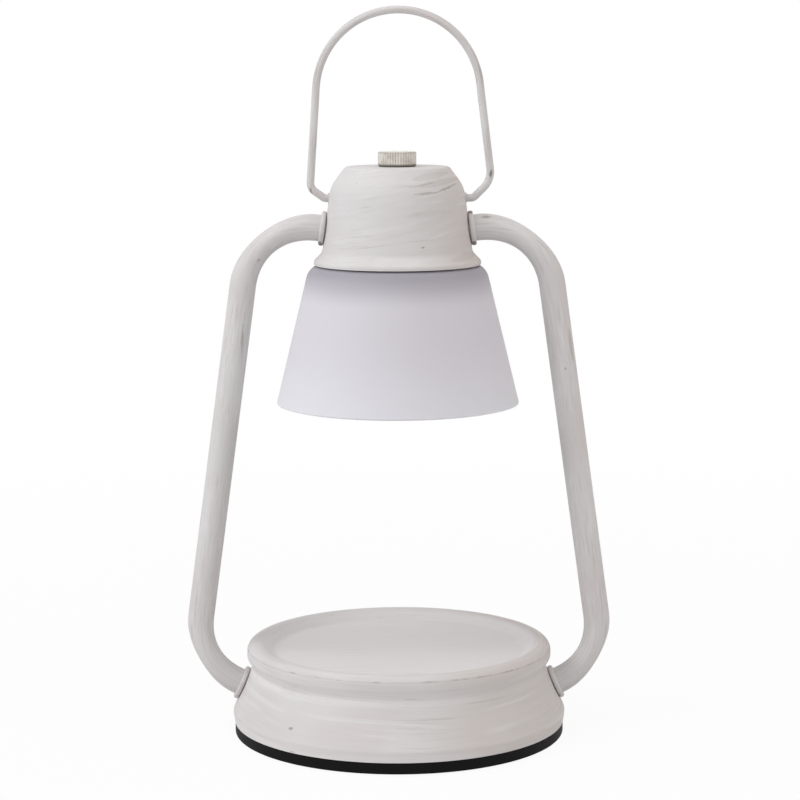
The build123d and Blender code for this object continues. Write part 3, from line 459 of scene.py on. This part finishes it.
def brushed_paint(name, strokes, wear, hair=0.2, fine=0.75, coarse=1.9, marks=(), rim=False,
                  corners=0.35, right_side_shade=0.0):
    """Off-white paint laid on with a dry brush over a darker ground that shows where it is thin.

    The widths of its strokes are fine and coarse, in mm. The strength of the worn places, of the
    lines of single hairs, of the darkened corners, which are part dirt and part painted shade, and of
    the painted shade on the right side is wear, hair, corners and the last argument.
    """
    finish = Finish(name, Specular_IOR_Level=0.3)
    fine_at, fine_fourth = strokes(finish, fine)
    coarse_at, coarse_fourth = strokes(finish, coarse)
    hairs = finish.noise(fine_at, 1.0, 3.0, 0.6, fine_fourth)
    bands = finish.noise(coarse_at, 1.0, 2.0, 0.5, coarse_fourth)
    clouds = finish.noise(finish.place, CLOUD_SCALE, 2.0)
    patches = finish.noise(finish.place, PATCH_SCALE, 3.0, 0.6)
    thin = finish.rise(patches, *THIN_EDGE)
    colour = finish.mix(finish.rise(clouds, *CLOUD_EDGE), PAINT_WARM, PAINT)
    # painted shade: the right side's paint is darker and warmer
    if right_side_shade:
        colour = finish.mix(painted_shade_on_right(finish, clouds) * right_side_shade, colour, PAINT_SHADED_RIGHT)
    # painted light: paler paint in the dish, in the neck and low down
    if rim:
        colour = finish.mix(painted_light_low_and_in_dish(finish) * 0.8, colour, PAINT_LIT)
    colour = finish.mix(finish.rise(bands, *BAND_EDGE) * 0.55, colour, PAINT_PALE)
    colour = finish.mix(finish.rise(hairs, *HAIR_EDGE) * (hair + thin * 0.45), colour, PAINT_STROKE)
    drags = finish.rise(bands * 0.55 + hairs * 0.45, *DRAG_EDGE) * thin
    worn = drags * (0.12 + 0.3 * wear)
    specks = 1.0 - finish.rise(finish.cells(finish.place, SPECK_SCALE), *SPECK_EDGE)
    specks = specks * finish.rise(clouds, *SPECK_CLOUDS)
    worn = worn + specks * 0.3 * wear
    if marks:
        worn = worn + marks_on_front(finish, marks)
    if rim:
        worn = worn + worn_rim(finish)
    colour = finish.mix(worn, colour, PAINT_WORN)
    # corners and gaps darkened, part dirt and part painted shade
    corner = 1.0 - finish.rise(finish.hollows(CORNER_WIDTH), *CORNER_EDGE)
    colour = finish.mix(corner * corners * (1.0 + 1.15 * thin), colour, PAINT_WORN)
    grain = finish.noise(finish.place, GRAIN_SCALE, 2.0)
    finish.set(Base_Color=colour, Roughness=0.52 + 0.18 * hairs)
    finish.bump(hairs * 0.6 + bands * 0.5 + grain * 0.25 - worn * 0.9, PAINT_DEPTH)
    return finish.material


# --- The other finishes ----------------------------------------------------------------
KNOB_CREST, KNOB_RUBBED = srgb(226, 222, 215), srgb(206, 200, 192)
KNOB_GROOVE_SHADE, KNOB_FOOT_SHADOW, KNOB_BROW = srgb(150, 141, 130), srgb(84, 76, 66), srgb(140, 134, 124)
GLASS_UPPER, GLASS_LOWER = srgb(219, 216, 222), srgb(226, 225, 230)
GLASS_SHADED = srgb(150, 147, 156)
IRON, RUST = srgb(62, 62, 64), srgb(104, 68, 46)
CERAMIC_SPECK = srgb(150, 140, 122)
SILVER, SILVER_HAZE = srgb(206, 206, 208), srgb(178, 178, 182)
GLASS_RIPPLE = srgb(246, 248, 250)
FACET_COUNT = 44            # facets in each row round the bulb's bowl
FACET_TALL = 4.0 * MM


def knurled_steel(name):
    """The hand nut: thin paint rubbed off the crests, painted shade in the grooves and a painted shadow
    at its foot.
    """
    finish = Finish(name, Metallic=0.15)
    x, y, z = finish.xyz()
    radius = reach(x, y)
    # painted shade in the knurl's grooves
    groove_shade = 1.0 - finish.rise(radius, KNOB_HIGH.x - 0.32 * MM, KNOB_HIGH.x - 0.05 * MM)
    on_side = finish.rise(radius, KNOB_HIGH.x - 0.8 * MM, KNOB_HIGH.x - 0.5 * MM)
    rubbed = finish.noise(finish.place, 420.0, 3.0, 0.6)
    colour = finish.mix(finish.rise(rubbed, 0.40, 0.65), KNOB_CREST, KNOB_RUBBED)
    colour = finish.mix(groove_shade * on_side * 0.38, colour, KNOB_GROOVE_SHADE)
    # painted shadow where the nut meets the cap
    foot = 1.0 - finish.rise(z, KNOB_LOW.z + 0.5 * MM, KNOB_LOW.z + 1.3 * MM)
    colour = finish.mix(foot * 0.85, colour, KNOB_FOOT_SHADOW)
    brow = finish.rise(z, KNOB_HIGH.z - 0.9 * MM, KNOB_HIGH.z - 0.4 * MM) * on_side
    colour = finish.mix(brow * 0.4, colour, KNOB_BROW)
    finish.set(Base_Color=colour, Roughness=0.38 + 0.2 * rubbed)
    turning = finish.add("ShaderNodeTexWave", {"wave_type": "RINGS", "rings_direction": "Z"},
                         {"Vector": finish.place, "Scale": 900.0})
    finish.bump(turning * (1.0 - on_side) * 0.4 + rubbed * 0.5, 0.03 * MM)
    return finish.material


def frosted_glass(name):
    """Opal glass, etched matt: pale and cool, with painted shade near its top, where the cap's shadow
    falls and the lampholder stands behind the glass.
    """
    finish = Finish(name, Specular_IOR_Level=0.3, IOR=1.45, Transmission_Weight=0.1,
                    Subsurface_Weight=0.6, Subsurface_Radius=(1.0, 1.0, 1.05),
                    Subsurface_Scale=2.5 * MM)
    x, y, z = finish.xyz()
    etch = finish.noise(finish.place, 2200.0, 2.0)
    cloud = finish.noise(finish.place, 30.0, 2.0)
    lower = 1.0 - finish.rise(z, SHADE_LOW.z, SHADE_LOW.z + 30 * MM)
    colour = finish.mix(lower, GLASS_UPPER, GLASS_LOWER)
    wander = (cloud - 0.5) * 2.0 * MM
    # painted shade: a band below the cap, darkest just under its lip
    shaded = finish.rise(z + wander, SHADE_HIGH.z - 15 * MM, SHADE_HIGH.z - 3 * MM)
    lip_shadow = finish.rise(z, SHADE_HIGH.z - 6 * MM, SHADE_HIGH.z - 2 * MM)
    colour = finish.mix(shaded * 0.60 + lip_shadow * 0.22, colour, GLASS_SHADED)
    finish.set(Base_Color=colour, Roughness=0.5 + 0.12 * etch)
    finish.bump(etch, 0.012 * MM)
    return finish.material


def moulded_plastic(name, colour, bloomed, grain=0.05, roughness=0.5, gloss=0.25):
    """Injection-moulded plastic with a spark-eroded grain, in mm, and a faint bloom."""
    finish = Finish(name, Specular_IOR_Level=gloss)
    spark = finish.noise(finish.place, 1300.0, 3.0, 0.65)
    bloom = finish.noise(finish.place, 60.0, 3.0)
    finish.set(Base_Color=finish.mix(finish.rise(bloom, 0.35, 0.75), colour, bloomed),
               Roughness=roughness + 0.18 * (bloom - 0.5) + 0.1 * spark)
    finish.bump(spark, grain * MM)
    return finish.material


def soft_rubber(name, colour, dust):
    """Soft pad: fine pores, and dust in them."""
    finish = Finish(name, Specular_IOR_Level=0.3)
    pores = finish.cells(finish.place, 1400.0)
    worn = finish.noise(finish.place, 90.0, 3.0, 0.6)
    finish.set(Base_Color=finish.mix(finish.rise(worn, 0.45, 0.80) * 0.6, colour, dust),
               Roughness=0.78 + 0.12 * worn)
    finish.bump(pores, 0.08 * MM)
    return finish.material


def turned_steel(name, light, dark):
    """Bright metal with fine turning marks."""
    finish = Finish(name, Metallic=1.0)
    where, fourth = strokes_round(finish, 0.25)
    marks = finish.noise(where, 1.0, 2.0, 0.6, fourth)
    tarnish = finish.noise(finish.place, 150.0, 3.0, 0.6)
    finish.set(Base_Color=finish.mix(finish.rise(tarnish, 0.40, 0.72), light, dark),
               Roughness=0.26 + 0.22 * tarnish)
    finish.bump(marks, 0.012 * MM)
    return finish.material


def cast_iron(name):
    """Sand-cast iron with rust in patches."""
    finish = Finish(name, Metallic=0.6)
    sand = finish.noise(finish.place, 700.0, 4.0, 0.7)
    rust = finish.rise(finish.noise(finish.place, 70.0, 4.0, 0.65), 0.58, 0.72)
    finish.set(Base_Color=finish.mix(rust * 0.6, IRON, RUST), Roughness=0.62 + 0.2 * sand)
    finish.bump(sand, 0.15 * MM)
    return finish.material


def steatite(name, light, dark):
    """Fired ceramic with a dry, slightly speckled face."""
    finish = Finish(name, Specular_IOR_Level=0.35)
    speckle = finish.cells(finish.place, 900.0)
    tone = finish.noise(finish.place, 110.0, 3.0)
    colour = finish.mix(finish.rise(tone, 0.35, 0.70), light, dark)
    colour = finish.mix((1.0 - finish.rise(speckle, 0.05, 0.16)) * 0.35, colour, CERAMIC_SPECK)
    finish.set(Base_Color=colour, Roughness=0.58 + 0.15 * tone)
    finish.bump(finish.noise(finish.place, 1600.0, 2.0), 0.02 * MM)
    return finish.material


def faceted_mirror(name):
    """Silvered bowl of the bulb: rows of small facets round the axis, under glass."""
    finish = Finish(name, Metallic=0.9, Coat_Weight=0.5, Coat_Roughness=0.06)
    x, y, z = finish.xyz()
    turn = x.calc("ARCTAN2", y, x)
    rows = x.calc("FRACT", z * (1.0 / FACET_TALL)) - 0.5
    columns = x.calc("FRACT", turn * (FACET_COUNT / math.tau)) - 0.5
    dimple = rows * rows + columns * columns
    haze = finish.noise(finish.place, 200.0, 2.0)
    finish.set(Base_Color=finish.mix(haze, SILVER, SILVER_HAZE), Roughness=0.10 + 0.14 * haze)
    finish.bump(dimple, 0.5 * MM)
    return finish.material


def clear_glass(name, tint, ripple_depth=0.02):
    """Clear glass with a slow ripple, its depth in mm."""
    finish = Finish(name, Transmission_Weight=1.0, IOR=1.47)
    ripple = finish.noise(finish.place, 240.0, 2.0)
    finish.set(Base_Color=finish.mix(ripple, tint, GLASS_RIPPLE), Roughness=0.03 + 0.07 * ripple)
    finish.bump(ripple, ripple_depth * MM)
    return finish.material


base_paint = brushed_paint("off_white_paint_base", strokes_on_base, wear=0.5, marks=BASE_MARKS,
                           rim=True, right_side_shade=0.6)
cap_paint = brushed_paint("off_white_paint_cap", strokes_on_cap, wear=0.5, marks=CAP_MARKS, right_side_shade=0.9)
arm_paint = brushed_paint("off_white_paint_arms", strokes_along_arm, wear=0.7, hair=0.5, fine=0.7,
                          coarse=1.8, marks=ARM_MARKS)
bail_paint = brushed_paint("off_white_paint_bail", strokes_along_bail, wear=1.0, hair=1.1, fine=0.5,
                           coarse=1.1, marks=BAIL_MARKS)
trim_paint = brushed_paint("off_white_paint_trim", strokes_round, wear=1.4, hair=0.3, fine=0.5,
                           coarse=1.2, marks=COLLAR_MARKS, corners=0.04)
black_abs = moulded_plastic("black_moulding", srgb(8, 7, 8), srgb(14, 13, 15),
                            roughness=0.6, gloss=0.12)
holder_resin = moulded_plastic("dark_holder_moulding", srgb(38, 36, 35), srgb(48, 46, 44),
                               roughness=0.42)
white_nylon = moulded_plastic("white_nylon", srgb(222, 220, 212), srgb(206, 203, 194), grain=0.03)
wire_sleeve = moulded_plastic("glass_fibre_sleeve", srgb(214, 208, 196), srgb(196, 188, 174),
                              grain=0.08)
pad_foam = soft_rubber("black_pad_foam", srgb(26, 26, 27), srgb(62, 60, 58))
seal_rubber = soft_rubber("dark_seal_rubber", srgb(30, 29, 29), srgb(54, 52, 50))
zinc_steel = turned_steel("zinc_plated_steel", srgb(196, 198, 200), srgb(164, 164, 160))
pin_steel = turned_steel("nickel_pins", srgb(206, 204, 198), srgb(178, 174, 166))
brass = turned_steel("contact_brass", srgb(206, 172, 98), srgb(170, 134, 72))
ballast_iron = cast_iron("ballast_iron")
insert_ceramic = steatite("insert_ceramic", srgb(232, 226, 212), srgb(216, 208, 190))
base_ceramic = steatite("bulb_ceramic", srgb(240, 238, 232), srgb(226, 222, 212))
bowl_mirror = faceted_mirror("silvered_bowl")
lens_glass = clear_glass("lens_glass", srgb(232, 238, 240), 0.25)
quartz = clear_glass("quartz_capsule", srgb(240, 242, 244))

FINISH_OF = {
    "base_shell": base_paint,
    "cap_shell": cap_paint,
    "arm_tube_right": arm_paint,
    "arm_tube_left": arm_paint,
    "lower_collar_right": trim_paint,
    "lower_collar_left": trim_paint,
    "upper_collar_right": trim_paint,
    "upper_collar_left": trim_paint,
    "handle_bushes": trim_paint,
    "handle_bail": bail_paint,
    "top_knob": knurled_steel("knurled_hand_nut"),
    "glass_shade": frosted_glass("etched_opal_glass"),
    "bottom_cover": black_abs,
    "foot_pad": pad_foam,
    "cord_grommet": seal_rubber,
    "shade_gasket": seal_rubber,
    "cover_tabs": zinc_steel,
    "cover_screws": zinc_steel,
    "ballast_screws": zinc_steel,
    "lower_arm_nuts": zinc_steel,
    "upper_arm_nuts": zinc_steel,
    "threaded_nipple": zinc_steel,
    "nipple_washer": zinc_steel,
    "nipple_locknut": zinc_steel,
    "ballast_disc": ballast_iron,
    "terminal_block": white_nylon,
    "terminal_screws": brass,
    "lampholder_contacts": brass,
    "lead_wires": wire_sleeve,
    "lampholder_body": holder_resin,
    "shade_ring_nut": holder_resin,
    "lampholder_insert": insert_ceramic,
    "bulb_base": base_ceramic,
    "bulb_pins": pin_steel,
    "bulb_reflector": bowl_mirror,
    "bulb_lens": lens_glass,
    "bulb_capsule": quartz,
}
for name, node in NODES.items():
    node.data.materials.clear()
    node.data.materials.append(FINISH_OF[name])


# --- Pieces with more detail than the solids carry --------------------------------------
TURN_STEPS = 40             # faces round a turned shape
SCREW_COUNT = 3
SCREW_TURN = 30.0           # degrees from the right-hand side to the first screw
CROSS_TURN, CROSS_DRIFT = 0.6, 2.3      # each screw's cross stopped at its own angle
HEAD_R = 2.9 * MM
HEAD_PROFILE = (            # radius and height in mm, from the face of the head to the shank
    (0.0, 0.0), (1.3, 0.0), (2.2, 0.12), (2.66, 0.42), (2.87, 0.95), (2.9, 1.3), (2.9, 1.8), (1.5, 1.8),
)
SHANK_R, ROOT_R, PITCH = 1.5 * MM, 1.2 * MM, 0.8 * MM
CROSS_MOUTH = (1.75 * MM, 0.45 * MM, -0.2 * MM)     # reach and half width of its arms, and height
CROSS_END = (1.05 * MM, 0.26 * MM, 1.15 * MM)
SCREW_SHARP, ENVELOPE_SHARP = 32, 50    # edges are sharp where faces meet at more degrees
ENVELOPE_T = 1.0 * MM
TIP_FLAT_R = 0.4 * MM       # the small flat where the capsule was sealed
ARC_STEPS = 8
COIL_R, COIL_TURNS, COIL_LOW, COIL_TALL = 1.0 * MM, 10, 6.0 * MM, 5.5 * MM
COIL_STEPS = 14             # points on each turn
LEAD_OFF = 1.7 * MM
LEAD_BEND, COIL_BEND = 0.6 * MM, 0.3 * MM           # how far before the coil the wire bends
WIRE_R = 0.12 * MM


def turned(profile):
    """A shape turned about the vertical axis from its (radius, height) points."""
    shape = bmesh.new()
    points = [shape.verts.new((radius, 0.0, height)) for radius, height in profile]
    edges = [shape.edges.new(pair) for pair in zip(points, points[1:])]
    bmesh.ops.spin(shape, geom=points + edges, axis=(0, 0, 1), cent=(0, 0, 0), angle=math.tau,
                   steps=TURN_STEPS)
    bmesh.ops.remove_doubles(shape, verts=shape.verts[:], dist=0.001 * MM)
    bmesh.ops.recalc_face_normals(shape, faces=shape.faces[:])
    return shape


def mesh_of(name, shape):
    mesh = bpy.data.meshes.new(name)
    shape.to_mesh(mesh)
    shape.free()
    return mesh


def smoothed(mesh, sharp_degrees):
    mesh.shade_smooth()
    mesh.set_sharp_from_angle(angle=math.radians(sharp_degrees))


def placed(name, data, material):
    piece = bpy.data.objects.new(name, data)
    data.materials.append(material)
    bpy.context.scene.collection.objects.link(piece)
    return piece


def cross_recess():
    """The tapered cross that is cut into a screw's head."""
    shape = bmesh.new()
    rings = []
    for arm_reach, half, height in (CROSS_MOUTH, CROSS_END):
        arm = ((half, half), (arm_reach, half), (arm_reach, -half))
        ring = []
        for quarter in range(4):
            turn = Matrix.Rotation(-quarter * math.pi / 2, 2)
            ring += [shape.verts.new((*(turn @ Vector(point)), height)) for point in arm]
        rings.append(ring)
    mouth, end = rings
    for ring in rings:
        shape.faces.new(ring)
    for here in range(len(mouth)):
        after = (here + 1) % len(mouth)
        shape.faces.new((mouth[here], mouth[after], end[after], end[here]))
    bmesh.ops.recalc_face_normals(shape, faces=shape.faces[:])
    return mesh_of("cross_recess", shape)


def cross_head_screw(tall):
    """One screw's mesh, head down: the turned blank with the cross cut out of it."""
    profile = [(radius * MM, height * MM) for radius, height in HEAD_PROFILE]
    ridge = HEAD_PROFILE[-1][1] * MM + PITCH
    while ridge < tall - PITCH:
        profile += [(SHANK_R, ridge), (ROOT_R, ridge + PITCH / 2)]
        ridge += PITCH
    profile += [(ROOT_R, tall), (0.0, tall)]
    steel = FINISH_OF["cover_screws"]
    blank = placed("screw_blank", mesh_of("screw_blank", turned(profile)), steel)
    cutter = placed("recess_cutter", cross_recess(), steel)
    cut = blank.modifiers.new("recess", "BOOLEAN")
    cut.operation = "DIFFERENCE"
    cut.solver = "EXACT"
    cut.object = cutter
    depsgraph = bpy.context.evaluated_depsgraph_get()
    screw = bpy.data.meshes.new_from_object(blank.evaluated_get(depsgraph))
    bpy.data.objects.remove(cutter)
    bpy.data.objects.remove(blank)
    return screw


def make_cover_screws():
    """Pan-head screws with a cross recess and a thread, in place of the plain ones."""
    low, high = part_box("cover_screws")
    screw = cross_head_screw(high.z - low.z)
    shape = bmesh.new()
    fix_r = -low.y - HEAD_R
    for number in range(SCREW_COUNT):
        turn = math.radians(SCREW_TURN + number * 360 / SCREW_COUNT)
        spot = Vector((fix_r * math.cos(turn), fix_r * math.sin(turn), low.z))
        cross = Matrix.Rotation(CROSS_TURN + turn * CROSS_DRIFT, 3, "Z")
        before = len(shape.verts)
        shape.from_mesh(screw)
        shape.verts.ensure_lookup_table()
        bmesh.ops.rotate(shape, verts=shape.verts[before:], matrix=cross)
        bmesh.ops.translate(shape, verts=shape.verts[before:], vec=spot)
    mesh = mesh_of("cross_head_screws", shape)
    mesh.materials.clear()
    smoothed(mesh, SCREW_SHARP)
    screws = placed("cross_head_screws", mesh, FINISH_OF["cover_screws"])
    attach(screws, "lamp")
    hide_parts("cover_screws")


def make_envelope():
    """The quartz capsule as a thin wall with a round end."""
    low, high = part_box("bulb_capsule")
    round_r = high.x - TIP_FLAT_R

    def skin(depth):
        """The half section of the surface that lies depth inside the wall, from the axis up."""
        radius = round_r - depth
        turns = [step * math.pi / 2 / ARC_STEPS for step in range(ARC_STEPS + 1)]
        arc = [(TIP_FLAT_R + radius * math.sin(turn), low.z + round_r - radius * math.cos(turn))
               for turn in turns]
        return [(0.0, low.z + depth), *arc, (high.x - depth, high.z)]

    mesh = mesh_of("quartz_envelope", turned(skin(0.0) + skin(ENVELOPE_T)[::-1]))
    smoothed(mesh, ENVELOPE_SHARP)
    envelope = placed("quartz_envelope", mesh, quartz)
    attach(envelope, "bulb")
    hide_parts("bulb_capsule")


def make_filament():
    """A coiled wire in the capsule, with a straight lead at each end."""
    low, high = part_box("bulb_capsule")
    foot = low.z + COIL_LOW
    points = [(LEAD_OFF, 0.0, high.z), (LEAD_OFF, 0.0, foot - LEAD_BEND),
              (COIL_R, 0.0, foot - COIL_BEND)]
    for step in range(COIL_TURNS * COIL_STEPS + COIL_STEPS // 2 + 1):
        turn = step * math.tau / COIL_STEPS
        height = foot + COIL_TALL * turn / math.tau / COIL_TURNS
        points.append((COIL_R * math.cos(turn), COIL_R * math.sin(turn), height))
    points += [(-LEAD_OFF, 0.0, height + LEAD_BEND), (-LEAD_OFF, 0.0, high.z)]
    wire = bpy.data.curves.new("filament_coil", "CURVE")
    wire.dimensions = "3D"
    wire.bevel_depth = WIRE_R
    wire.bevel_resolution = 2
    run = wire.splines.new("POLY")
    run.points.add(len(points) - 1)
    for point, spot in zip(run.points, points):
        point.co = (*spot, 1.0)
    tungsten = turned_steel("tungsten_wire", srgb(150, 148, 146), srgb(112, 110, 108))
    coil = placed("filament_coil", wire, tungsten)
    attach(coil, "bulb")


make_cover_screws()
make_envelope()
make_filament()


# --- Studio ----------------------------------------------------------------------------
def soft_lamp(name, place, size, power, tint):
    data = bpy.data.lights.new(name, "AREA")
    data.size = size
    data.energy = power
    data.color = tint
    lamp = bpy.data.objects.new(name, data)
    lamp.location = place
    aim = Vector(SOFTBOX_AIM) - Vector(place)
    lamp.rotation_euler = aim.to_track_quat("-Z", "Y").to_euler()
    bpy.context.scene.collection.objects.link(lamp)


def make_world():
    """A white room: plain white where it is seen, and a gentler light on the lamp."""
    world = bpy.data.worlds.new("studio")
    bpy.context.scene.world = world
    world.use_nodes = True
    room = Wiring(world.node_tree)
    level = ROOM_LIGHT + (1.0 - ROOM_LIGHT) * room.seen_directly()
    sockets = {"Color": (1.0, 1.0, 1.0, 1.0), "Strength": level}
    room.finish_with("ShaderNodeOutputWorld", room.add("ShaderNodeBackground", {}, sockets))


def make_floor():
    """A wide white floor that keeps the lamp's soft shadow and fades into the white room."""
    material = bpy.data.materials.new("studio_floor_white")
    material.use_nodes = True
    paper = Wiring(material.node_tree)
    x, y, z = paper.xyz()
    fade = paper.rise(reach(x, y), *FLOOR_FADE)
    glow_share = paper.seen_directly() * (FLOOR_GLOW + (1.0 - FLOOR_GLOW) * fade)
    white = (FLOOR_SHADE, FLOOR_SHADE, FLOOR_SHADE, 1.0)
    matt = paper.add("ShaderNodeBsdfDiffuse", {}, {"Color": white})
    glow = paper.add("ShaderNodeEmission", {}, {"Strength": 1.0})
    seen = paper.add("ShaderNodeMixShader", {}, {0: glow_share, 1: matt, 2: glow})
    paper.finish_with("ShaderNodeOutputMaterial", seen)

    shape = bmesh.new()
    bmesh.ops.create_grid(shape, x_segments=1, y_segments=1, size=FLOOR_HALF)
    floor = placed("studio_floor", mesh_of("studio_floor", shape), material)
    floor.location.z = -FLOOR_GAP


def make_camera():
    data = bpy.data.cameras.new("front_camera")
    data.sensor_width = SENSOR_WIDTH
    data.lens = LENS
    camera = bpy.data.objects.new("front_camera", data)
    camera.location = (CAMERA_ASIDE, -CAMERA_BACK, CAMERA_HEIGHT)
    tilt = Matrix.Rotation(math.radians(90 - CAMERA_PITCH), 4, "X")
    roll = Matrix.Rotation(math.radians(CAMERA_ROLL), 4, "Z")
    camera.rotation_euler = (tilt @ roll).to_euler()
    bpy.context.scene.collection.objects.link(camera)
    bpy.context.scene.camera = camera


for softbox in SOFTBOXES:
    soft_lamp(*softbox)
make_world()
make_floor()
make_camera()
bpy.context.scene.view_settings.view_transform = "Standard"
